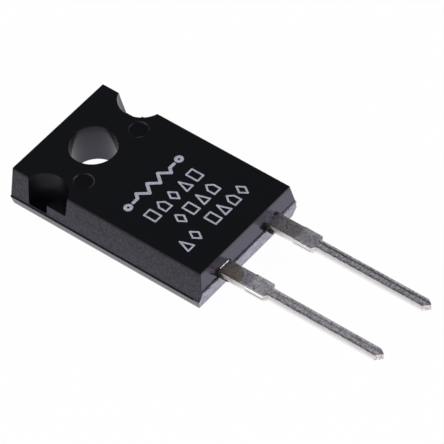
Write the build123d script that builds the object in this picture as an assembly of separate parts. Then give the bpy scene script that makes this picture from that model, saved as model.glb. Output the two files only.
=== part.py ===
"""Power film resistor in a moulded flange package with two flat leads.

Millimetres. The origin is the centre of the mounting hole in the mounting face,
+Z points away from the heat sink and +X runs along the leads.

A nickel-plated copper plate lies in the mounting face. A ceramic chip with a printed
resistance film is bonded to it, the two leads are soldered to the chip, and the whole
stack is moulded in black resin around the mounting hole.
"""
from build123d import *
import math
import os

# Outside of the moulding
body_length = 16.26  # widest, at the mould's parting edges
body_width = 10.41  # widest, at the long sides' parting edge
body_thickness = 3.18
hole_to_end = 3.12  # hole axis to the widest part of the plain end
side_parting_height = 0.82  # the mould halves meet lower on the sides than at the leads
parting_step = 0.08  # the lower half stands out by this much as a thin ledge
lead_parting_step = 0.09  # and by this much at the lead end
side_draft = 10.0  # degrees, long sides above the parting edge
lead_end_draft = 7.0
plain_end_draft = 1.5
side_undercut = 16.0  # the lower half slopes back under the parting edge, on the sides
lead_undercut = 13.0  # and at the lead end
corner_radius = 0.06
rim_radius = 0.03

# Mounting hole
hole_diameter = 3.40
hole_flare = 0.03  # radial, at the top face
hole_flare_depth = 0.06
hole_sleeve = 0.35  # resin between the hole and the plate

# Half-round notches in the long sides, level with the hole
notch_diameter = 3.54  # at the top face
notch_axis_offset = 5.27  # from the hole's axis
notch_draft = 6.0
notch_floor_height = 0.95
notch_to_plate = 0.35

# Ejector-pin marks in the top face
ejector_diameter = 1.40
ejector_depth = 0.05
ejector_bevel = 0.05  # radial, round the edge of the mark
ejector_axial = 1.55
ejector_lateral = 2.87

# Copper plate in the mounting face
plate_thickness = 0.80
plate_side_cover = 0.65  # resin outside the plate's widest outline
plate_plain_cover = 0.35
plate_lead_cover = 0.95
plate_corner = 0.60
plate_lock_width = 0.20  # the exposed face is smaller, so the resin holds the plate
plate_lock_height = 0.45

# Ceramic chip and its layers
bond_thickness = 0.07
chip_length = 8.40
chip_width = 7.60
chip_thickness = 0.635
chip_centre = 7.50  # from the hole's axis
print_thickness = 0.055
print_margin = 0.40
film_width = 3.10
film_margin = 0.30
terminal_width = 1.95
trim_width = 0.15  # laser cut that trims the film
trim_reach = 1.90
trim_run = 2.60
trim_start = 2.10
glaze_thickness = 0.05
glaze_margin = 0.20
solder_thickness = 0.09
solder_spread = 0.12

# Leads
lead_pitch = 5.08
lead_length = 12.70  # beyond the moulding
lead_thickness = 0.50
lead_width = 0.76
root_width = 1.24
root_length = 2.10  # beyond the moulding, up to the stub of the cut dam bar
stub_width = 1.40
stub_length = 1.42
stub_slope = 0.19
stub_roll = 0.07  # the dam bar's shear rolls the stub's upper edges
foot_width = 1.60
foot_length = 2.60
foot_outside_chip = 0.75
anchor_diameter = 0.60
edge_roll = 0.03
tip_length = 0.40
tip_flat = 0.08
tip_offset = 0.10
tip_shoulder = 0.30  # radius on the tip's far side
tip_bevel_length = 0.24  # the cut-off tool bends the end of the top face down
tip_bevel_drop = 0.06

# Levels and places that follow from the sizes above
chip_base = plate_thickness + bond_thickness
chip_top = chip_base + chip_thickness
print_top = chip_top + print_thickness
lead_base = print_top + solder_thickness
lead_top = lead_base + lead_thickness
plain_end = -hole_to_end
lead_end = body_length - hole_to_end
chip_end = chip_centre + chip_length / 2
lead_tip = lead_end + lead_length
foot_end = chip_end + foot_outside_chip
foot_start = foot_end - foot_length
terminal_offset = (film_width + terminal_width) / 2


def slope(degrees):
    """Sideways shift per unit of height of a face drafted by that angle."""
    return math.tan(math.radians(degrees))


def slab(x_min, x_max, y_min, y_max, z_min, z_max):
    """Block between two opposite corners."""
    size = (x_max - x_min, y_max - y_min, z_max - z_min)
    centre = ((x_min + x_max) / 2, (y_min + y_max) / 2, (z_min + z_max) / 2)
    return Pos(*centre) * Box(*size)


def outline(height, x_min, x_max, half_width):
    """Rounded rectangle at a height: the moulding's plan there."""
    plan = RectangleRounded(x_max - x_min, 2 * half_width, corner_radius)
    return Pos((x_min + x_max) / 2, 0, height) * plan


def mould_envelope():
    """The moulding's outside before notches and hole, in three tiers with their own drafts.

    The skirt slopes in towards the mounting face. Over it a thin ledge marks where the
    mould halves meet on the sides. At the lead end they meet at the leads instead.
    """
    edge = body_width / 2
    foot = edge - parting_step
    levels = (0, side_parting_height, lead_base, body_thickness)
    base, parting, lead_plane, top = levels

    def plain_end_at(height):
        return plain_end + slope(plain_end_draft) * abs(height - parting)

    def undercut_at(height):
        return lead_end - slope(lead_undercut) * (lead_plane - height)

    def side_at(height):
        return foot - slope(side_draft) * (height - parting)

    skirt = loft([
        outline(base, plain_end_at(base), undercut_at(base), edge - slope(side_undercut) * parting),
        outline(parting, plain_end_at(parting), undercut_at(parting), edge),
    ], ruled=True)
    waist = loft([
        outline(parting, plain_end_at(parting), undercut_at(parting), foot),
        outline(lead_plane, plain_end_at(lead_plane), lead_end, side_at(lead_plane)),
    ], ruled=True)
    crown_end = lead_end - lead_parting_step
    rim_end = crown_end - slope(lead_end_draft) * (top - lead_plane)
    crown = loft([
        outline(lead_plane, plain_end_at(lead_plane), crown_end, side_at(lead_plane)),
        outline(top, plain_end_at(top), rim_end, side_at(top)),
    ], ruled=True)
    body = skirt + waist + crown
    rim = body.edges().group_by(Axis.Z)[-1]
    return fillet(rim, rim_radius)


def hole_cutter():
    """Mounting hole, flared where it meets the top face."""
    radius = hole_diameter / 2
    shank = Cylinder(radius, body_thickness, align=(Align.CENTER, Align.CENTER, Align.MIN))
    flare = Cone(radius, radius + hole_flare, hole_flare_depth, align=(Align.CENTER, Align.CENTER, Align.MAX))
    return shank + Pos(0, 0, body_thickness) * flare


def notch_cutter(side):
    """Tapered half-round notch; towards the leads it stops at the lead plane, leaving a step."""
    depth = body_thickness - notch_floor_height
    top_radius = notch_diameter / 2
    floor_radius = top_radius - slope(notch_draft) * depth
    cone = Cone(floor_radius, top_radius, depth, align=(Align.CENTER, Align.CENTER, Align.MIN))
    cone = Pos(0, side * notch_axis_offset, notch_floor_height) * cone
    reach = body_width
    step = slab(0, notch_diameter, -reach, reach, 0, lead_base)
    return cone - step


def ejector_marks():
    """Two shallow round marks with bevelled edges, left by the ejector pins."""
    rim = ejector_diameter / 2
    mark = Cone(rim - ejector_bevel, rim, ejector_depth, align=(Align.CENTER, Align.CENTER, Align.MAX))
    places = [(ejector_axial, side * ejector_lateral, body_thickness) for side in (-1, 1)]
    return [Pos(*place) * mark for place in places]


def plate_outline(inset):
    """Plate outline drawn in by an inset, with the sleeve hole and side notches grown by it."""
    x_min = plain_end + plate_plain_cover + inset
    x_max = lead_end - plate_lead_cover - inset
    half_width = body_width / 2 - plate_side_cover - inset
    outline = Pos((x_min + x_max) / 2, 0) * RectangleRounded(x_max - x_min, 2 * half_width, plate_corner)
    outline -= Circle(hole_diameter / 2 + hole_sleeve + inset)
    for side in (-1, 1):
        outline -= Pos(0, side * notch_axis_offset) * Circle(notch_diameter / 2 + notch_to_plate + inset)
    return outline


def heat_spreader():
    """Copper plate whose exposed face is smaller than its body, so that the resin grips it."""
    exposed = extrude(plate_outline(plate_lock_width), plate_lock_height)
    body = extrude(Pos(0, 0, plate_lock_height) * plate_outline(0), plate_thickness - plate_lock_height)
    return exposed + body


def chip_layer(length, width, z_min, z_max, y_centre=0):
    """Flat rectangular layer centred on the chip."""
    half_length, half_width = length / 2, width / 2
    return slab(
        chip_centre - half_length, chip_centre + half_length,
        y_centre - half_width, y_centre + half_width,
        z_min, z_max,
    )


def substrate_bond():
    """Thin bond between the plate and the chip."""
    return chip_layer(chip_length, chip_width, plate_thickness, chip_base)


def ceramic_substrate():
    """Alumina chip."""
    return chip_layer(chip_length, chip_width, chip_base, chip_top)


def termination(side):
    """Conductor printed along one side of the film, under the lead's foot."""
    length = chip_length - 2 * print_margin
    return chip_layer(length, terminal_width, chip_top, print_top, side * terminal_offset)


def resistance_film():
    """Film between the two conductors, with the L-shaped laser cut that trims it."""
    length = chip_length - 2 * (print_margin + film_margin)
    film = chip_layer(length, film_width, chip_top, print_top)
    start = chip_centre - length / 2 + trim_start
    edge = -film_width / 2
    turn = edge + trim_reach
    film -= slab(start, start + trim_width, edge, turn, chip_top, print_top)
    film -= slab(start, start + trim_run, turn - trim_width, turn, chip_top, print_top)
    return film


def film_overglaze(film):
    """Glass over the film; it fills the laser cut and runs onto the ceramic at both ends."""
    length = chip_length - 2 * (print_margin + film_margin - glaze_margin)
    return chip_layer(length, film_width, chip_top, print_top + glaze_thickness) - film


def lead_outline():
    """Stamped plan of a lead along +X, centred on its own axis, before its tip is cut."""
    root_end = lead_end + root_length
    stub_end = root_end + stub_length
    lower = [
        (foot_start, -foot_width / 2),
        (foot_end, -foot_width / 2),
        (foot_end, -root_width / 2),
        (root_end, -root_width / 2),
        (root_end, -stub_width / 2),
        (stub_end, -stub_width / 2),
        (stub_end + stub_slope, -lead_width / 2),
        (lead_tip, -lead_width / 2),
    ]
    upper = [(x, -y) for x, y in reversed(lower)]
    outline = make_face(Polyline(lower + upper, close=True))
    return outline - Pos(foot_end - anchor_diameter, 0) * Circle(anchor_diameter / 2)


def tip_outline():
    """Plan of a lead's last stretch: a lopsided point with one rounded shoulder."""
    half_width, half_flat = lead_width / 2, tip_flat / 2
    start, shoulder = lead_tip - 2 * tip_length, lead_tip - tip_length
    outline = make_face(Polyline([
        (start, -half_width),
        (shoulder, -half_width),
        (lead_tip, tip_offset - half_flat),
        (lead_tip, tip_offset + half_flat),
        (shoulder, half_width),
        (start, half_width),
    ], close=True))
    corner = outline.vertices().sort_by_distance((shoulder, half_width, 0))[0]
    return fillet(corner, tip_shoulder)


def lead_side_view():
    """Side view of a lead, flat but for the end of its top face, which the cut-off tool bends down."""
    points = [
        (foot_start, lead_base),
        (lead_tip, lead_base),
        (lead_tip, lead_top - tip_bevel_drop),
        (lead_tip - tip_bevel_length, lead_top),
        (foot_start, lead_top),
    ]
    return make_face(Polyline(points, close=True))


def long_top_edges(blank, x_min, x_max):
    """A lead's upper edges that run along it between two stations."""
    mid_height = (lead_base + lead_top) / 2
    return [
        edge for edge in blank.edges()
        if x_min < edge.center().X < x_max
        and edge.center().Z > mid_height
        and abs(edge.tangent_at(0.5).X) > 0.99
    ]


def lead(side):
    """Flat tinned lead from its soldered foot to its coined tip."""
    blank = extrude(Pos(0, 0, lead_base) * lead_outline(), lead_thickness)
    blank &= extrude(Plane.XZ * lead_side_view(), stub_width + foot_width, both=True)
    stub_start = lead_end + root_length
    stub_end = stub_start + stub_length
    blank = fillet(long_top_edges(blank, stub_end + stub_slope, lead_tip), edge_roll)
    blank = fillet(long_top_edges(blank, stub_start, stub_end), stub_roll)
    tip_start = lead_tip - 2 * tip_length
    cut_off = slab(tip_start, lead_tip, -lead_width, lead_width, lead_base, lead_top)
    cut_off -= extrude(Pos(0, 0, lead_base) * tip_outline(), lead_thickness)
    return Pos(0, side * lead_pitch / 2, 0) * (blank - cut_off)


def solder_joint(side):
    """Solder under a lead's foot, spreading towards the conductor."""
    y_centre = side * lead_pitch / 2
    x_max = chip_end - print_margin
    centre, length = (foot_start + x_max) / 2, x_max - foot_start
    top = Pos(centre, y_centre, lead_base) * Rectangle(length, foot_width)
    spread_centre, spread_length = centre - solder_spread / 2, length + solder_spread
    base = Pos(spread_centre, y_centre, print_top) * Rectangle(spread_length, foot_width + 2 * solder_spread)
    return loft([base, top])


def moulded_body(inner):
    """Black resin around the stack, cast against every inner piece."""
    body = mould_envelope() - hole_cutter()
    for side in (-1, 1):
        body -= notch_cutter(side)
    for mark in ejector_marks():
        body -= mark
    for piece in inner:
        body -= piece
    return body


def build_parts():
    """Every piece of the resistor by its node name."""
    film = resistance_film()
    parts = {
        "heat_spreader": heat_spreader(),
        "substrate_bond": substrate_bond(),
        "ceramic_substrate": ceramic_substrate(),
        "resistance_film": film,
        "film_overglaze": film_overglaze(film),
    }
    for name, side in (("left", -1), ("right", 1)):
        parts[f"termination_{name}"] = termination(side)
        parts[f"solder_joint_{name}"] = solder_joint(side)
        parts[f"lead_{name}"] = lead(side)
    parts["moulded_body"] = moulded_body(parts.values())
    return parts


os.makedirs("parts", exist_ok=True)
for node, solid in build_parts().items():
    export_step(solid, f"parts/{node}.step")
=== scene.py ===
"""Looks of a power film resistor in a moulded flange package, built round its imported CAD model."""
import math

import bmesh
import bpy
from mathutils import Matrix, Vector, noise


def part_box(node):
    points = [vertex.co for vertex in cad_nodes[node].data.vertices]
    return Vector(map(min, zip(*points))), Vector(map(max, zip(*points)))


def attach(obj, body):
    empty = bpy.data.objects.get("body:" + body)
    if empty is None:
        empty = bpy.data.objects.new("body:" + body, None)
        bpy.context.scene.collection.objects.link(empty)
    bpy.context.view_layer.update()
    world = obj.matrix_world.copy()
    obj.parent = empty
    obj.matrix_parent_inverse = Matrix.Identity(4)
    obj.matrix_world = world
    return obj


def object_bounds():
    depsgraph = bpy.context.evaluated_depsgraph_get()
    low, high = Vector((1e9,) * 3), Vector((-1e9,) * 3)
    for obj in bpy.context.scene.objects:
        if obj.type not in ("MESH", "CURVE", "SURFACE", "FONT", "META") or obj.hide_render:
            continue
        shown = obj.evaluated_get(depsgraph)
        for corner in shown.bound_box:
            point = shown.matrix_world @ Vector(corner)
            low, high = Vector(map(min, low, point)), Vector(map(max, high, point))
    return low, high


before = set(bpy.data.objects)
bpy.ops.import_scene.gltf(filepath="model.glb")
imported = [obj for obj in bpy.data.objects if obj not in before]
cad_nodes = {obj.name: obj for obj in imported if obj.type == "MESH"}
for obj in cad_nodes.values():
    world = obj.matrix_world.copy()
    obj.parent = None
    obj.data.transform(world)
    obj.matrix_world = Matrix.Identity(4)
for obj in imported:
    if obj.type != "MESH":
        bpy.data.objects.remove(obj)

bpy.context.view_layer.update()
cad_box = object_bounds()
mm = 0.001
micron = 0.001 * mm


# Copper plate in the mounting face: rolled copper strip, blanked, then nickel plated.
# Only its underside shows; it keeps the strip's roll lines and the rub marks of
# the trays it travelled in. The sockets and finishes are first needed here.
class Wire:
    """A node's output socket. Arithmetic on it adds Math nodes."""

    def __init__(self, finish, socket):
        self.finish = finish
        self.socket = socket

    def work_out(self, operation, first, second):
        return self.finish.add("Math", {"operation": operation}, {0: first, 1: second})

    def __add__(self, other):
        return self.work_out("ADD", self, other)

    def __radd__(self, other):
        return self.work_out("ADD", other, self)

    def __sub__(self, other):
        return self.work_out("SUBTRACT", self, other)

    def __rsub__(self, other):
        return self.work_out("SUBTRACT", other, self)

    def __mul__(self, other):
        return self.work_out("MULTIPLY", self, other)

    def __rmul__(self, other):
        return self.work_out("MULTIPLY", other, self)

    def __abs__(self):
        return self.finish.add("Math", {"operation": "ABSOLUTE"}, {0: self})


class Nodes:
    """A node tree that starts empty, and the ways its nodes are made."""

    def __init__(self, tree):
        self.tree = tree
        self.tree.nodes.clear()

    def add(self, kind, settings=None, inputs=None, output=0):
        """New node: its settings first, then its sockets' values or links."""
        node = self.tree.nodes.new("ShaderNode" + kind)
        for setting, value in (settings or {}).items():
            setattr(node, setting, value)
        for name, value in (inputs or {}).items():
            if isinstance(value, Wire):
                self.tree.links.new(value.socket, node.inputs[name])
            else:
                socket = node.inputs[name]
                socket.default_value = (*value, 1) if socket.type == "RGBA" else value
        return Wire(self, node.outputs[output]) if len(node.outputs) else node

    def fade(self, value, start, end):
        """0 where the value is at start, 1 where it is at end, smooth between."""
        ends = {"Value": value, "From Min": start, "From Max": end}
        return self.add("MapRange", {"interpolation_type": "SMOOTHSTEP"}, ends)

    def bump(self, value, middle, reach):
        """1 at the middle, smoothly down to 0 at the reach on both sides."""
        return self.fade(abs(value - middle), reach, 0.0)

    def blend(self, share, first, second):
        """Colour between two colours."""
        return self.add("Mix", {"data_type": "RGBA"}, {0: share, 6: first, 7: second}, output=2)


class Finish(Nodes):
    """A surface finish: one material, with the object's own axes and its face directions."""

    def __init__(self, name):
        self.material = bpy.data.materials.new(name)
        self.material.use_nodes = True
        super().__init__(self.material.node_tree)
        self.place = self.add("TexCoord", output="Object")
        self.x, self.y, self.z = (
            self.add("SeparateXYZ", {}, {"Vector": self.place}, output=axis) for axis in "XYZ"
        )
        facing = self.add("NewGeometry", output="True Normal")
        self.facing_x, self.facing_y, self.facing_z = (
            self.add("SeparateXYZ", {}, {"Vector": facing}, output=axis) for axis in "XYZ"
        )

    def grain(self, size, detail=2.0, roughness=0.5):
        """Noise between 0 and 1 with marks of a size: one number, or one for each axis."""
        each = size if isinstance(size, tuple) else (size, size, size)
        scaled = self.add("Mapping", {}, {
            "Vector": self.place,
            "Scale": tuple(1 / length for length in each),
        })
        return self.add("TexNoise", {}, {
            "Vector": scaled, "Scale": 1.0, "Detail": detail, "Roughness": roughness,
        })

    def relief(self, height):
        """Normal of a surface with that height, in metres."""
        return self.add("Bump", {}, {"Height": height, "Distance": 1.0, "Strength": 1.0})

    def shader(self, **sockets):
        """Principled shader, with its sockets named in lower case."""
        inputs = {}
        for name, value in sockets.items():
            inputs[name.replace("_", " ").title().replace("Ior", "IOR")] = value
        return self.add("BsdfPrincipled", {}, inputs)

    def surface(self, **sockets):
        """One shader straight to the material's output."""
        self.add("OutputMaterial", {}, {"Surface": self.shader(**sockets)})

    def coat(self, *node_names):
        """Puts the finish on CAD nodes."""
        for node_name in node_names:
            cad_nodes[node_name].material_slots[0].material = self.material


nickel = Finish("nickel_plating")
roll_lines = nickel.grain((6 * mm, 0.06 * mm, 0.06 * mm), detail=3)
rub_marks = nickel.grain((0.5 * mm, 2.2 * mm, 1 * mm), detail=5, roughness=0.62)
cloudy = nickel.grain(1.6 * mm, detail=4)
dulled = nickel.fade(rub_marks, 0.46, 0.68)
nickel.surface(
    base_color=nickel.blend(cloudy, (0.60, 0.575, 0.53), (0.72, 0.70, 0.66)),
    metallic=1.0,
    roughness=0.24 + 0.12 * dulled + 0.10 * cloudy,
    normal=nickel.relief(1.2 * micron * roll_lines + 2 * micron * dulled),
)
nickel.coat("heat_spreader")


# Chip and what is printed on it, sealed inside: a sintered alumina plate bonded to the
# copper, two silver-palladium conductors and the resistance ink screen printed and fired
# on it, and glass over the ink. The lead feet are soldered to the conductors.
bond = Finish("filled_bond")
filler = bond.grain(0.05 * mm, detail=3)
bond.surface(
    base_color=bond.blend(filler, (0.20, 0.20, 0.21), (0.42, 0.42, 0.43)),
    metallic=0.3,
    roughness=0.5 + 0.2 * filler,
    normal=bond.relief(4 * micron * filler),
)
bond.coat("substrate_bond")

alumina = Finish("sintered_alumina")
crystals = alumina.grain(0.03 * mm, detail=4, roughness=0.6)
kiln_tone = alumina.grain(3 * mm)
alumina.surface(
    base_color=alumina.blend(kiln_tone, (0.80, 0.79, 0.75), (0.88, 0.87, 0.84)),
    roughness=0.55 + 0.15 * crystals,
    normal=alumina.relief(2 * micron * crystals),
)
alumina.coat("ceramic_substrate")

mesh_pitch = 0.08 * mm


def screen_print(name, thin, thick, metallic, roughness, node_names):
    """Fired ink that keeps the weave of its printing screen."""
    ink = Finish(name)
    weave = 1.0
    for along in (ink.x, ink.y):
        wave = ink.add("Math", {"operation": "SINE"}, {0: along * (2 * math.pi / mesh_pitch)})
        weave = weave * (0.5 + 0.5 * wave)
    patches = ink.grain(0.4 * mm, detail=4)
    ink.surface(
        base_color=ink.blend(patches, thin, thick),
        metallic=metallic,
        roughness=roughness + 0.15 * patches,
        normal=ink.relief(2 * micron * weave + 3 * micron * patches),
    )
    ink.coat(*node_names)


screen_print(
    "fired_conductor", (0.62, 0.61, 0.58), (0.74, 0.73, 0.70), 0.9, 0.38,
    ("termination_left", "termination_right"),
)
screen_print(
    "fired_resistance_ink", (0.012, 0.012, 0.014), (0.03, 0.03, 0.032), 0.0, 0.45,
    ("resistance_film",),
)

glaze = Finish("overglaze")
pooling = glaze.grain(0.7 * mm)
glaze.surface(
    base_color=glaze.blend(pooling, (0.012, 0.045, 0.030), (0.025, 0.085, 0.055)),
    roughness=0.12 + 0.08 * pooling,
    normal=glaze.relief(6 * micron * pooling),
    coat_weight=0.6,
)
glaze.coat("film_overglaze")

solder = Finish("frozen_solder")
frost = solder.grain(0.09 * mm, detail=3)
solder.surface(
    base_color=solder.blend(frost, (0.55, 0.56, 0.57), (0.72, 0.73, 0.74)),
    metallic=1.0,
    roughness=0.28 + 0.25 * frost,
    normal=solder.relief(6 * micron * frost),
)
solder.coat("solder_joint_left", "solder_joint_right")


# Leads: 0.5 mm copper strip stamped with a die, tin plated all over, then trimmed from
# the frame at the dam bar and the tip. The flats have lighter and darker stripes along
# them, with painted highlights along their edges; the hot mould tarnished the roots, and
# the cut edges stay bright, painted lighter low down and darker above.
lead_low, lead_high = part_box("lead_left")
body_low, body_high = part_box("moulded_body")
lead_exit = body_high.x
lead_axis = 2.54 * mm
stub_start = lead_exit + 2.10 * mm
shank_start = lead_exit + 3.62 * mm
groove_middle, groove_reach = 0.13 * mm, 0.14 * mm
scratch_offset, scratch_reach = 0.42 * mm, 0.08 * mm
tin_white = (0.93, 0.90, 0.98)
tin_blued = (0.80, 0.78, 0.98)
tin_black = (0.0, 0.0, 0.0)
tin_cut = (0.86, 0.845, 0.83)
# Painted reflection low on the cut edges, and painted shade above it:
tin_painted_reflection = (0.985, 0.98, 0.965)
tin_painted_shade = (0.60, 0.575, 0.60)
tin_tip = (0.88, 0.82, 0.82)
tin_snipped = (0.50, 0.45, 0.45)
tarnish_pale = (0.27, 0.248, 0.236)
tarnish_deep = (0.115, 0.098, 0.085)
tarnish_burnt = (0.15, 0.082, 0.060)
bare_copper = (0.24, 0.17, 0.12)

# Places on a lead: out of the moulding, across from the lead's own axis, and on which
# part of it. The near lead is lead_left, towards -Y.
tin = Finish("tinned_lead")
out = tin.x - lead_exit
near_lead = tin.fade(tin.y, 0.1 * mm, -0.1 * mm)
wander = tin.grain((2.6 * mm, 3 * mm, 3 * mm), detail=2)
across = tin.y + lead_axis * (2 * near_lead - 1)
stripe = across + 0.16 * mm * (wander - 0.5)
on_flat = tin.fade(abs(tin.facing_z), 0.45, 0.75)
on_shank = tin.fade(tin.x, shank_start - 0.12 * mm, shank_start + 0.12 * mm)
on_stub = tin.fade(tin.x, stub_start - 0.10 * mm, stub_start + 0.25 * mm) * (1 - on_shank)
draw_lines = tin.grain((2.5 * mm, 0.035 * mm, 0.035 * mm), detail=3, roughness=0.6)
cross_grain = tin.grain((0.07 * mm, 0.9 * mm, 0.3 * mm), detail=3, roughness=0.6)
cross_lines = tin.fade(cross_grain, 0.50, 0.66)
specks = tin.fade(tin.grain(0.10 * mm, detail=3, roughness=0.7), 0.36, 0.64)
pits = tin.fade(tin.grain(0.14 * mm, detail=2, roughness=0.6), 0.40, 0.60)
mottle = tin.fade(tin.grain(0.30 * mm, detail=4, roughness=0.65), 0.34, 0.66)

# The shank's flats: a dark groove between a paler middle stripe and a painted highlight along the
# edge.
groove = tin.bump(stripe, groove_middle, groove_reach) * (0.80 - 0.42 * near_lead)
middle_stripe = tin.fade(stripe, -0.26 * mm, -0.10 * mm)
# Painted highlight along the shank's edge.
edge_highlight = tin.fade(stripe, 0.17 * mm, 0.36 * mm)
stripe_tone = 0.37 + 0.24 * middle_stripe + 0.34 * edge_highlight
shank_tone = (
    stripe_tone * (1 - groove * (0.8 + 0.2 * specks)) * (0.62 + 0.76 * draw_lines)
    * (0.58 + 0.10 * near_lead + 0.66 * pits)
)

# The wide flats: pitted tin, with a painted reflection lightening them towards the edges.
# The near lead's are scratched where the frame was trimmed, and the heat blued them next to their
# stain.
# Painted reflection: the flats are lightened towards their rounded edges.
far_rim_highlight = tin.fade(across, 0.34 * mm, 0.56 * mm)
near_rim_highlight = tin.fade(across, -0.24 * mm, -0.42 * mm)
plain_tone = (
    0.25 + 0.15 * near_lead + on_stub * (0.16 + 0.05 * near_lead) + 0.14 * far_rim_highlight
    + 0.12 * near_rim_highlight * on_stub * (1 - near_lead)
)
scratch_run = across - 0.5 * (out - stub_start + lead_exit) + scratch_offset
scratch_span = tin.bump(out, stub_start - lead_exit + 0.30 * mm, 0.75 * mm) * near_lead
scratch = tin.bump(scratch_run, 0.0, scratch_reach) * scratch_span * (0.3 + 0.7 * specks)
curl_lines = tin.bump(tin.grain(0.55 * mm, detail=0.0), 0.5, 0.035)
curls = curl_lines * near_lead * tin.bump(out, 2.6 * mm, 1.1 * mm)
pit_depth = (0.85 - 0.40 * near_lead) * (1 - 0.5 * on_stub * (1 - near_lead))
pitted = 0.85 + 0.30 * mottle + pit_depth * (pits - 0.5)
wide_tone = (
    plain_tone * pitted * (1 - 0.7 * scratch) * (1 - 0.65 * curls)
    + 0.15 * cross_lines * specks
)
tone = shank_tone * on_shank + wide_tone * (1 - on_shank)
blued = near_lead * tin.bump(out, 1.85 * mm, 0.60 * mm) * tin.fade(across, -0.5 * mm, 0.1 * mm)
flat_shade = tin.blend(tone, tin_black, tin.blend(blued, tin_white, tin_blued))

# The roots: a brown stain with a curved front on the near lead; the far lead is darker near
# the moulding. The near lead is darker along its edges by the stub and the moulding, and
# has a rim that the shear rolled over, painted lighter as a painted reflection. The slope
# of the coined tip is dull as well.
stain_offset = (across + 0.48 * mm) * (1 / mm)
stain_curve = stain_offset * stain_offset
stain_reach = (
    2.35 * mm - near_lead * (0.77 * mm + 0.75 * mm * stain_curve * stain_curve)
    + 0.16 * mm * (mottle - 0.5)
)
stain_edge = (0.45 - 0.38 * near_lead) * mm
# On the far lead this only darkens the root near the moulding.
stain_front = tin.fade(out, stain_reach + stain_edge, stain_reach - stain_edge)
stained = stain_front * (0.35 + 0.65 * near_lead)
tarnish = tin.blend(0.25 + 0.45 * mottle + 0.30 * specks, tarnish_deep, tarnish_pale)
burnt = (
    tin.bump(across, -0.55 * mm, 0.16 * mm) * (1 - near_lead)
    * tin.bump(out, 1.0 * mm, 0.8 * mm)
)
tarnish = tin.blend(burnt * (0.4 + 0.6 * specks), tarnish, tarnish_burnt)
flat_shade = tin.blend(stained, flat_shade, tarnish)
# Darker and browner along the near lead's far edge where the stub starts, and along its near edge
# next to the moulding.
darkened_edges = (
    tin.bump(across, 0.62 * mm, 0.22 * mm) * tin.bump(tin.x, stub_start + 0.05 * mm, 0.16 * mm)
    + tin.fade(across, -0.30 * mm, -0.50 * mm) * tin.fade(out, 1.3 * mm, 0.9 * mm) * 0.45
)
flat_shade = tin.blend(darkened_edges * near_lead, flat_shade, tarnish_burnt)
# Painted reflection: the near lead's rolled near rim is painted in the light cut-edge colour.
rolled_rim_reflection = tin.fade(across, -0.50 * mm, -0.56 * mm) * tin.fade(out, 1.95 * mm, 2.10 * mm)
flat_shade = tin.blend(rolled_rim_reflection * near_lead * (1 - on_shank), flat_shade, tin_cut)
bent_tip = on_flat * tin.fade(tin.facing_x, 0.08, 0.20)
flat_shade = tin.blend(bent_tip * 0.8, flat_shade, tarnish_pale)

# The cut edges: painted near white low down as a painted reflection, painted darker above as
# painted shade, with a torn line of copper on the stub between them, and dull next to the moulding.
# Painted shade: the upper part of the cut edges is darker, with a mottle.
up_the_edge = tin.fade(tin.z, lead_low.z + 0.10 * mm, lead_low.z + 0.36 * mm)
painted_upper_shade = up_the_edge * (0.75 + 0.5 * mottle) * (0.35 + 0.65 * on_shank)
edge_shade = tin.blend(painted_upper_shade, tin_cut, tin_painted_shade)
# Painted reflection: the lowest part of the cut edges is painted near white.
painted_lower_reflection = tin.fade(tin.z, lead_low.z + 0.16 * mm, lead_low.z + 0.06 * mm) * (1 - on_shank)
edge_shade = tin.blend(painted_lower_reflection, edge_shade, tin_painted_reflection)
torn_share = 0.2 * (1 - on_shank) + on_stub * (0.7 + 0.3 * near_lead)
torn = tin.bump(tin.z, lead_low.z + 0.25 * mm, 0.08 * mm) * torn_share
edge_shade = tin.blend(torn * (0.85 + 0.15 * specks), edge_shade, bare_copper)
dulled_root = tin.fade(out, 2.3 * mm, 0.3 * mm) * (0.25 + 0.4 * mottle)
edge_shade = tin.blend(dulled_root, edge_shade, bare_copper)
tip_shade = tin.blend(pits, tin_snipped, tin_tip)
edge_shade = tin.blend(tin.fade(tin.facing_x, 0.3, 0.6) * on_shank, edge_shade, tip_shade)

wide_relief = (
    1.5 * micron * cross_lines + 2 * micron * specks - 3 * micron * (scratch + curls)
)
tin.surface(
    base_color=tin.blend(on_flat, edge_shade, flat_shade),
    metallic=1.0,
    roughness=0.33 + 0.08 * draw_lines + 0.10 * stained,
    normal=tin.relief(
        1.2 * micron * draw_lines
        + on_flat * (1 - on_shank) * wide_relief
        - on_flat * on_shank * (2 * micron) * groove
    ),
)
tin.coat("lead_left", "lead_right")


# Moulding: black epoxy filled with silica, pressed round the stack in a split mould. Its
# top comes from a polished plate and is smooth and dark. The walls come from a
# spark-eroded cavity: they have a fine grain, a lilac sheen and, at the lead end, a colour
# painted lighter as a painted reflection.
lead_end_reach = 0.75 * mm
side_parting = 0.80 * mm
bore_reach = 1.85 * mm
notch_axis, notch_reach = 5.27 * mm, 2.10 * mm
notch_side = 4.62 * mm
pin_x, pin_y = 1.55 * mm, 2.87 * mm
pin_reach, pin_ring_reach = 0.64 * mm, 0.69 * mm
resin_top = (0.0014, 0.0018, 0.0034)
resin_pin = (0.0002, 0.0005, 0.0023)
# Painted highlight on broken arcs of the pin marks' rims.
resin_ring_highlight = (0.075, 0.075, 0.078)
resin_wall = (0.0045, 0.0040, 0.0075)
# Painted reflection: the lead end's colour lightened above its parting line.
resin_facet_reflection = (0.018, 0.017, 0.026)
# Painted reflection: the strip below the side parting line.
resin_strip_reflection = (0.075, 0.073, 0.090)
# Painted reflection: the lead end's scored lower facet, pale lilac.
resin_scored_reflection = (0.36, 0.345, 0.48)
# Painted light on the lead end's ledge, lighter towards its far end.
resin_ledge_painted_light = (0.150, 0.147, 0.175)
resin_ledge_painted_lighter = (0.36, 0.352, 0.42)
wall_sheen = (0.80, 0.76, 1.0)
face_tint = (0.84, 0.81, 1.0)

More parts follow.
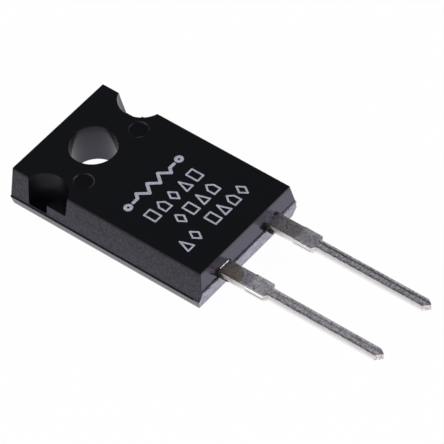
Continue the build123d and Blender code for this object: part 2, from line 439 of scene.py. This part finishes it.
resin = Finish("moulded_epoxy")


def distance_from(finish, axis_x, sideways):
    """Distance in plan from an upright axis, given how far to its side a point lies."""
    plan = finish.add("CombineXYZ", {}, {"X": finish.x - axis_x, "Y": sideways, "Z": 0.0})
    return finish.add("VectorMath", {"operation": "LENGTH"}, {0: plan}, output="Value")


# Where each kind of surface lies. The hole's axis is at zero.
level = resin.fade(resin.facing_z, 0.8, 0.97)
lead_end_start = body_high.x - lead_end_reach
at_lead_end = resin.fade(resin.x, lead_end_start, lead_end_start + 0.15 * mm)
below_rim = resin.fade(resin.z, body_high.z - 0.3 * mm, body_high.z - 0.5 * mm)
ledge = level * at_lead_end * below_rim
on_top = level * (1 - ledge)
undercut = resin.fade(resin.facing_z, -0.08, -0.18)
lead_face = resin.fade(resin.facing_x, 0.75, 0.9) * at_lead_end
from_bore = distance_from(resin, 0.0, resin.y)
in_bore = resin.fade(from_bore, bore_reach, bore_reach - 0.07 * mm) * (1 - level)
inboard = resin.fade(abs(resin.y), notch_side, notch_side - 0.07 * mm)
crosswise = resin.fade(abs(resin.facing_x), 0.30, 0.40)
# A notch's wall is inboard of the side or faces along the part.
from_notch = distance_from(resin, 0.0, abs(resin.y) - notch_axis)
in_notch = (
    resin.fade(from_notch, notch_reach, notch_reach - 0.04 * mm)
    * (1 - level) * (1 - (1 - inboard) * (1 - crosswise))
)
wall = (1 - level) * (1 - in_bore) * (1 - in_notch)
from_pin = distance_from(resin, pin_x, abs(resin.y) - pin_y)
pin_disc = resin.fade(from_pin, pin_reach, pin_reach - 0.06 * mm)
pin_ring = resin.bump(from_pin, pin_ring_reach, 0.07 * mm)
# Painted shade: the walls are darker along their top, where less of the eroded finish shows.
shade_under_rim = resin.fade(resin.z, body_high.z - 0.24 * mm, body_high.z - 0.05 * mm)
near_parting = resin.fade(resin.z, side_parting - 0.32 * mm, side_parting)
# Painted shade: the strip just below the side parting line is darker, where less of the eroded
# finish shows.
shade_below_parting = near_parting * undercut * (1 - lead_face)
# A darker line along the strip, lower down.
dark_strip_line = resin.bump(resin.z, 0.40 * mm, 0.10 * mm) * undercut * (1 - lead_face)

spark = resin.grain(0.16 * mm, detail=3, roughness=0.6)
fine = resin.grain(0.035 * mm, detail=2)
tide = resin.grain(2.4 * mm, detail=4, roughness=0.6)
scores = resin.grain((0.40 * mm, 0.40 * mm, 0.24 * mm), detail=4, roughness=0.65)
scored = resin.fade(scores, 0.38, 0.64)
speckle = resin.fade(spark, 0.34, 0.66)

# The polished finish: the top with its two ejector pin marks, whose rims carry painted highlight
# arcs, and the ledge at the lead end, with its colour painted light.
shade = resin.blend(on_top * pin_disc, resin_top, resin_pin)
# Painted highlight: broken arcs of each pin mark's rim are painted lighter.
highlight_arcs = resin.fade(resin.grain(0.7 * mm, detail=1), 0.48, 0.66)
shade = resin.blend(on_top * pin_ring * highlight_arcs, shade, resin_ring_highlight)
# Painted light: the ledge's colour is lightened, more towards the far end.
ledge_far_end = resin.fade(resin.y, 3.0 * mm, 3.6 * mm)
ledge_shade = resin.blend(ledge_far_end, resin_ledge_painted_light, resin_ledge_painted_lighter)
shade = resin.blend(ledge, shade, ledge_shade)
polished = resin.shader(
    base_color=shade,
    roughness=0.30 + 0.05 * (tide - 0.5),
    ior=1.5,
    specular_ior_level=0.13,
    normal=resin.relief(on_top * (0.6 * micron * fine + 3 * micron * tide)),
)

# The eroded finish: the walls. The lead end is smoother and mirrors the leads; above its
# parting line its colour is painted lighter as a painted reflection, and below it it has
# score marks, painted pale lilac as a painted reflection of the white floor.
# Painted reflection: the lead end above its parting line is painted lighter, with a speckle.
facet_reflection = lead_face * (1 - undercut) * (0.92 + 0.16 * speckle)
sheen = resin.blend(facet_reflection, resin_wall, resin_facet_reflection)
# Painted reflection: the strip below the side parting line is painted lighter, with its score marks.
sheen = resin.blend(undercut * (1 - lead_face) * (0.6 + 0.8 * scored), sheen, resin_strip_reflection)
# Painted reflection: the lead end's lower facet is painted pale lilac, varied by its score marks.
sheen = resin.blend((0.32 + 0.26 * scored) * undercut * lead_face, sheen, resin_scored_reflection)
wall_relief = wall * (1 - undercut) * (2 * micron * spark + 1 * micron * fine)
smoothed = 0.26 * lead_face * (1 - undercut)
eroded = resin.shader(
    base_color=sheen,
    roughness=0.34 - smoothed - 0.20 * in_bore + 0.06 * (spark - 0.5),
    ior=1.6,
    specular_tint=wall_sheen,
    coat_weight=lead_face * (0.85 * (1 - undercut) + (0.18 + 0.70 * scored) * undercut),
    coat_roughness=0.05,
    coat_tint=face_tint,
    normal=resin.relief(wall_relief + undercut * (3 * micron) * scores),
)

# How much of the eroded finish each surface shows.
low_wall = resin.fade(resin.z, body_high.z, side_parting)
side_share = 0.24 + 0.62 * speckle + 0.24 * tide + 0.12 * low_wall
bore_share = 0.34 + 0.28 * resin.fade(resin.z, body_high.z, 2.3 * mm) + 0.38 * low_wall
far_notch = resin.fade(resin.y, 0.0, 3.0 * mm)
notch_share = 0.14 + 0.82 * resin.fade(resin.facing_x, 0.60, 0.85) * far_notch
share = (
    wall * (1 - undercut) * (1 - lead_face) * side_share * (1 - 0.85 * shade_under_rim)
    + lead_face * (1 - undercut) * (0.75 - 0.35 * shade_under_rim)
    + undercut * (0.94 + 0.06 * scored - 0.70 * shade_below_parting - 0.20 * dark_strip_line)
    + in_bore * bore_share
    + in_notch * notch_share
)
epoxy = resin.add("MixShader", {}, {0: share, 1: polished, 2: eroded})
resin.add("OutputMaterial", {}, {"Surface": epoxy})
resin.coat("moulded_body")


# Flash: thin skins and lumps of resin that bled out of the mould, along the lead end's
# parting edge and round the lead roots. They broke off unevenly and browned in the heat.
def add_piece(name, bm, finish):
    """Closes a mesh into an object with a finish that rides on the part."""
    bmesh.ops.recalc_face_normals(bm, faces=bm.faces)
    mesh = bpy.data.meshes.new(name)
    bm.to_mesh(mesh)
    bm.free()
    mesh.materials.append(finish.material)
    piece = bpy.data.objects.new(name, mesh)
    bpy.context.collection.objects.link(piece)
    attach(piece, "root")


def bar(bm, sections):
    """Closed bar through sections with the same number of corners."""
    rings = [[bm.verts.new(corner) for corner in section] for section in sections]
    corners = len(rings[0])
    for first, second in zip(rings, rings[1:]):
        for corner in range(corners):
            following = (corner + 1) % corners
            bm.faces.new((first[corner], second[corner], second[following], first[following]))
    bm.faces.new(rings[0])
    bm.faces.new(list(reversed(rings[-1])))


noise_slice = 0.37


def uneven(along, lane, size):
    """Noise from -1 to 1 along an edge, with marks of that size. Each lane has its own."""
    return noise.noise(Vector((along / size, lane / size, noise_slice)))


bled = Finish("bled_resin")
crumbs = bled.grain(0.06 * mm, detail=3)
browned = bled.fade(crumbs, 0.5, 0.7)
bled.surface(
    base_color=bled.blend(browned, (0.012, 0.010, 0.009), (0.098, 0.078, 0.046)),
    roughness=0.45,
    specular_ior_level=0.2,
    normal=bled.relief(6 * micron * crumbs),
)

# The parting skin's colour is painted lighter than black resin, lavender grey in ragged patches,
# lifting the shade along the lead end's parting edge.
skin = Finish("parting_skin_resin")
frayed = skin.grain(0.12 * mm, detail=3)
lighter_patches = skin.fade(frayed, 0.4, 0.6)
skin.surface(
    base_color=skin.blend(lighter_patches, (0.026, 0.025, 0.030), (0.10, 0.098, 0.120)),
    roughness=0.4,
    normal=skin.relief(4 * micron * frayed),
)

root_half = 0.62 * mm
corner_gap = 0.45 * mm
skin_step = 0.05 * mm
skin_reach = 0.05 * mm
skin_low, skin_high = lead_low.z - 0.009 * mm, lead_low.z + 0.002 * mm
skin_root = lead_exit - 0.01 * mm
skin_bm = bmesh.new()
stretches = (
    (body_low.y + corner_gap, -lead_axis - root_half),
    (-lead_axis + root_half, lead_axis - root_half),
    (lead_axis + root_half, body_high.y - corner_gap),
)
for first_y, last_y in stretches:
    steps = max(2, round((last_y - first_y) / skin_step))
    sections = []
    for step in range(steps + 1):
        y = first_y + (last_y - first_y) * step / steps
        ragged = 0.25 + 0.9 * uneven(y, 0.0, 0.32 * mm) + 0.6 * uneven(y, 9.0, 0.11 * mm)
        x = lead_exit + skin_reach * min(1.0, max(0.02, ragged))
        sections.append([
            (skin_root, y, skin_low), (x, y, skin_low), (x, y, skin_high), (skin_root, y, skin_high),
        ])
    bar(skin_bm, sections)
add_piece("parting_skin", skin_bm, skin)


swell_share, swell_waves, swell_spread = 0.30, 1.7, 4000


def add_lumps(bm, origin, lumps):
    """Uneven rounded lumps. Each has its middle, from the origin, and its reach in mm."""
    for offsets, sizes in lumps:
        middle = Vector([start + offset * mm for start, offset in zip(origin, offsets)])
        made = bmesh.ops.create_icosphere(bm, subdivisions=3, radius=1.0)
        for vert in made["verts"]:
            swell = 1 + swell_share * noise.noise(vert.co * swell_waves + middle * swell_spread)
            reach = [part * (size * mm) * swell for part, size in zip(vert.co, sizes)]
            vert.co = middle + Vector(reach)


root_lumps = (
    ("near_root_flash", -lead_axis, (
        ((-0.06, -0.60, 0.36), (0.20, 0.11, 0.20)),
        ((0.05, -0.66, 0.12), (0.22, 0.06, 0.14)),
        ((0.38, -0.645, 0.01), (0.34, 0.035, 0.035)),
        ((-0.10, -0.44, 0.50), (0.12, 0.15, 0.035)),
        ((-0.11, 0.60, 0.47), (0.10, 0.09, 0.06)),
    )),
    ("far_root_flash", lead_axis, (
        ((-0.02, -0.66, 0.26), (0.19, 0.09, 0.26)),
        ((0.24, -0.69, -0.02), (0.26, 0.08, 0.17)),
        ((-0.12, -0.62, 0.44), (0.10, 0.10, 0.10)),
        ((-0.08, 0.45, 0.51), (0.05, 0.20, 0.03)),
    )),
)
for name, axis_y, lumps in root_lumps:
    flash_bm = bmesh.new()
    add_lumps(flash_bm, (lead_exit, axis_y, lead_low.z), lumps)
    add_piece(name, flash_bm, bled)


# Tin ridge: tin of the near lead's plating that the closing mould squeezed up, in a thin
# line across the lead at the foot of the moulding's wall.
ridge_x = body_high.x - 0.165 * mm
ridge_first, ridge_length = -0.46 * mm, 1.0 * mm
ridge_steps = 40
ridge_flatness = 1.2
ridge_bm = bmesh.new()
ridge_sections = []
for step in range(ridge_steps + 1):
    y = -lead_axis + ridge_first + ridge_length * step / ridge_steps
    height = (0.030 + 0.012 * uneven(y, 4.0, 0.09 * mm)) * mm
    section = []
    for turn in (math.pi * part / 8 for part in range(9)):
        x = ridge_x + height * math.cos(turn) * ridge_flatness
        section.append((x, y, lead_high.z + height * math.sin(turn)))
    ridge_sections.append(section)
bar(ridge_bm, ridge_sections)
bright_tin = Finish("bright_tin")
beads = bright_tin.grain(0.05 * mm)
bright_tin.surface(
    base_color=bright_tin.blend(beads, (0.85, 0.84, 0.84), (0.95, 0.94, 0.94)),
    metallic=1.0,
    roughness=0.22 + 0.1 * beads,
)
add_piece("tin_ridge", ridge_bm, bright_tin)


# Trim burr: a curl of torn copper that the trimming punch left at the start of the
# near lead's dam-bar stub.
burr_bm = bmesh.new()
add_lumps(burr_bm, (stub_start, -lead_axis, lead_low.z), (
    ((0.12, -0.655, 0.16), (0.08, 0.030, 0.12)),
    ((0.17, -0.655, 0.08), (0.06, 0.045, 0.06)),
))
torn_copper = Finish("torn_copper")
tear = torn_copper.grain(0.04 * mm, detail=3)
torn_copper.surface(
    base_color=torn_copper.blend(tear, (0.12, 0.09, 0.06), (0.45, 0.34, 0.26)),
    metallic=1.0,
    roughness=0.4 + 0.2 * tear,
)
add_piece("trim_burr", burr_bm, torn_copper)


# Print: white ink pad-printed on the finished top and cured. It holds plain generic
# marks only: a zigzag between two round pads, over three rows of simple outlined shapes.
ink_height = 0.008 * mm
print_level = body_high.z
symbol_line = 0.23 * mm
row_line = 0.135 * mm
bead_profile = ((-1.0, 0.0), (-0.86, 0.8), (0.0, 1.0), (0.86, 0.8), (1.0, 0.0))
corner_step = math.radians(20)


def stroke(bm, points, width, closed=False):
    """Domed bead of ink along points: its corners are round outside and sharp inside."""
    count = len(points)
    rings = []
    for index, point in enumerate(points):
        ahead = (points[(index + 1) % count] - point) if closed or index < count - 1 else None
        behind = (point - points[index - 1]) if closed or index > 0 else None
        first, second = (behind or ahead).normalized(), (ahead or behind).normalized()
        turn = math.atan2(first.x * second.y - first.y * second.x, first.dot(second))
        along = (first + second).normalized()
        inward = Vector((-along.y, along.x)) * (width / 2 / math.cos(turn / 2))
        steps = round(abs(turn) / corner_step)
        for step in range(steps + 1):
            lean = turn * (step / steps - 0.5) if steps else 0.0
            outward = Matrix.Rotation(lean, 2) @ inward * (math.cos(turn / 2) if steps else 1.0)
            ring = []
            for sideways, upward in bead_profile:
                place = point + (inward if sideways * turn > 0 else outward) * sideways
                ring.append(bm.verts.new((*place, print_level + ink_height * upward)))
            rings.append(ring)
    spans = zip(rings, rings[1:] + rings[:1]) if closed else zip(rings, rings[1:])
    corners = len(bead_profile)
    for first, second in spans:
        for corner in range(corners):
            following = (corner + 1) % corners
            bm.faces.new((first[corner], second[corner], second[following], first[following]))
    if not closed:
        bm.faces.new(rings[0])
        bm.faces.new(list(reversed(rings[-1])))


def shape(kind, middle_x, middle_y, height, width):
    """Corner points of a simple shape; its top points to the plain end."""
    half_h, half_w = height / 2, width / 2
    corners = {
        "square": ((-1, -1), (-1, 1), (1, 1), (1, -1)),
        "diamond": ((-1, 0), (0, 1), (1, 0), (0, -1)),
        "triangle": ((-1, 0), (1, 1), (1, -1)),
        "gable": ((-1, 0), (-0.2, 1), (1, 1), (1, -1), (-0.2, -1)),
    }[kind]
    return [Vector((middle_x + half_h * up, middle_y + half_w * along)) for up, along in corners]


ink_bm = bmesh.new()
symbol_x, symbol_half = 5.42 * mm, 0.36 * mm
teeth, tooth_pitch = 6, 0.56 * mm
lead_out = 0.55 * mm
zigzag_start = -tooth_pitch * teeth / 2 - 0.3 * mm
zigzag = [Vector((symbol_x, zigzag_start - lead_out)), Vector((symbol_x, zigzag_start))]
for tooth in range(teeth):
    side = -1 if tooth % 2 == 0 else 1
    tooth_y = zigzag_start + tooth_pitch * (tooth + 0.5)
    zigzag.append(Vector((symbol_x + side * symbol_half, tooth_y)))
zigzag_end = zigzag_start + tooth_pitch * teeth
zigzag += [Vector((symbol_x, zigzag_end)), Vector((symbol_x, zigzag_end + lead_out))]
stroke(ink_bm, zigzag, symbol_line)
pad_radius, pad_gap, pad_steps = 0.21 * mm, 0.42 * mm, 28
for pad_y in (zigzag[0].y - pad_gap, zigzag[-1].y + pad_gap):
    pad_ring = [
        Vector((symbol_x + pad_radius * math.cos(turn), pad_y + pad_radius * math.sin(turn)))
        for turn in (math.tau * step / pad_steps for step in range(pad_steps))
    ]
    stroke(ink_bm, pad_ring, symbol_line, closed=True)

mark_height, mark_width = 0.96 * mm, 0.62 * mm
rows = (
    (7.16 * mm, -2.56 * mm, 1.10 * mm, ("square", "gable", "diamond", "triangle", "square")),
    (8.80 * mm, -1.66 * mm, 1.08 * mm, ("diamond", "square", "triangle", "gable")),
    (10.50 * mm, -3.30 * mm, 1.06 * mm, ("triangle", "diamond")),
    (10.50 * mm, -0.42 * mm, 1.02 * mm, ("square", "triangle", "gable", "diamond")),
)
for row_x, first_y, pitch, kinds in rows:
    for index, kind in enumerate(kinds):
        corners = shape(kind, row_x, first_y + index * pitch, mark_height, mark_width)
        stroke(ink_bm, corners, row_line, closed=True)
bmesh.ops.remove_doubles(ink_bm, verts=ink_bm.verts, dist=0.0001 * mm)

ink = Finish("cured_ink")
thin_spots = ink.grain(0.12 * mm, detail=3)
covered = ink.fade(thin_spots, 0.3, 0.6)
ink.surface(
    base_color=ink.blend(covered, (0.27, 0.283, 0.345), (0.40, 0.418, 0.51)),
    roughness=0.5 + 0.1 * thin_spots,
    normal=ink.relief(2 * micron * thin_spots),
)
add_piece("print_marks", ink_bm, ink)


# Table: one white sheet under the object. To the lens and to mirrored or refracted rays
# it is mostly plain white; the rest is lit by the lamps and keeps the object's shadow.
# Seen from below it is clear, so that the mounting face can be looked at.
table_side, table_gap = 3.0, 0.01 * mm
plain_share = 0.975
bpy.ops.mesh.primitive_grid_add(x_subdivisions=2, y_subdivisions=2, size=table_side)
table = bpy.context.object
table.name = "table"
table.location = (10 * mm, 0, cad_box[0].z - table_gap)
sheet = Finish("white_sheet")
to_lens, mirrored, refracted = (
    sheet.add("LightPath", output=f"Is {kind} Ray") for kind in ("Camera", "Glossy", "Transmission")
)
shown = sheet.add("Math", {"operation": "MAXIMUM"}, {0: to_lens + mirrored, 1: refracted})
paper = sheet.add("BsdfDiffuse", {}, {"Color": (0.86, 0.86, 0.86)})
white = sheet.add("Emission", {}, {"Color": (1, 1, 1), "Strength": 1.0})
front = sheet.add("MixShader", {}, {0: shown * plain_share, 1: paper, 2: white})
clear = sheet.add("BsdfTransparent")
underside = sheet.add("NewGeometry", output="Backfacing")
top_sheet = sheet.add("MixShader", {}, {0: underside, 1: front, 2: clear})
sheet.add("OutputMaterial", {}, {"Surface": top_sheet})
table.data.materials.append(sheet.material)


# Studio: a dim grey room and three soft lamps, none of them where the top face would
# mirror it to the lens.
room = bpy.data.worlds.new("room")
bpy.context.scene.world = room
room.use_nodes = True
sky = Nodes(room.node_tree)
toward = sky.add("TexCoord", output="Generated")
climb = sky.add("SeparateXYZ", {}, {"Vector": toward}, output="Z")
backdrop = sky.add("MapRange", {"interpolation_type": "SMOOTHSTEP"}, {
    "Value": climb, "From Min": 0.0, "From Max": 0.73, "To Min": 0.85, "To Max": 0.34,
})
walls = sky.add("Background", {}, {"Color": backdrop, "Strength": 1.0})
sky.add("OutputWorld", {}, {"Surface": walls})

object_centre = (cad_box[0] + cad_box[1]) / 2
lamps = (
    ("left_lamp", (-0.22, -0.30, 0.34), 0.30, 1.0),
    ("right_lamp", (0.30, 0.22, 0.26), 0.26, 0.75),
    ("front_lamp", (0.12, -0.40, 0.20), 0.24, 0.35),
)
for name, place, size, power in lamps:
    lamp = bpy.data.lights.new(name, "AREA")
    lamp.shape = "SQUARE"
    lamp.size = size
    lamp.energy = power
    holder = bpy.data.objects.new(name, lamp)
    bpy.context.collection.objects.link(holder)
    holder.location = place
    holder.rotation_euler = (object_centre - Vector(place)).to_track_quat("-Z", "Y").to_euler()


# Camera: long lens from the near lead's corner, 48 degrees up and slightly rolled, aimed
# between the body and the leads.
azimuth, elevation, roll = (math.radians(angle) for angle in (-48.267, 48.099, -4.474))
distance = 267.74 * mm
target = Vector((10.187 * mm, 0.768 * mm, 1.5 * mm))
toward_lens = Vector((
    math.cos(elevation) * math.cos(azimuth),
    math.cos(elevation) * math.sin(azimuth),
    math.sin(elevation),
))
unrolled_right = Vector((0, 0, 1)).cross(toward_lens).normalized()
unrolled_up = toward_lens.cross(unrolled_right)
right = math.cos(roll) * unrolled_right + math.sin(roll) * unrolled_up
up = math.cos(roll) * unrolled_up - math.sin(roll) * unrolled_right
lens = bpy.data.cameras.new("camera")
lens.sensor_width = 36
lens.lens = 331.04
lens.clip_start = 0.01
lens.clip_end = 10
camera = bpy.data.objects.new("camera", lens)
bpy.context.collection.objects.link(camera)
stand = Matrix.Translation(target + distance * toward_lens)
camera.matrix_world = stand @ Matrix((right, up, toward_lens)).transposed().to_4x4()
bpy.context.scene.camera = camera
bpy.context.scene.view_settings.view_transform = "Standard"

bpy.context.view_layer.update()
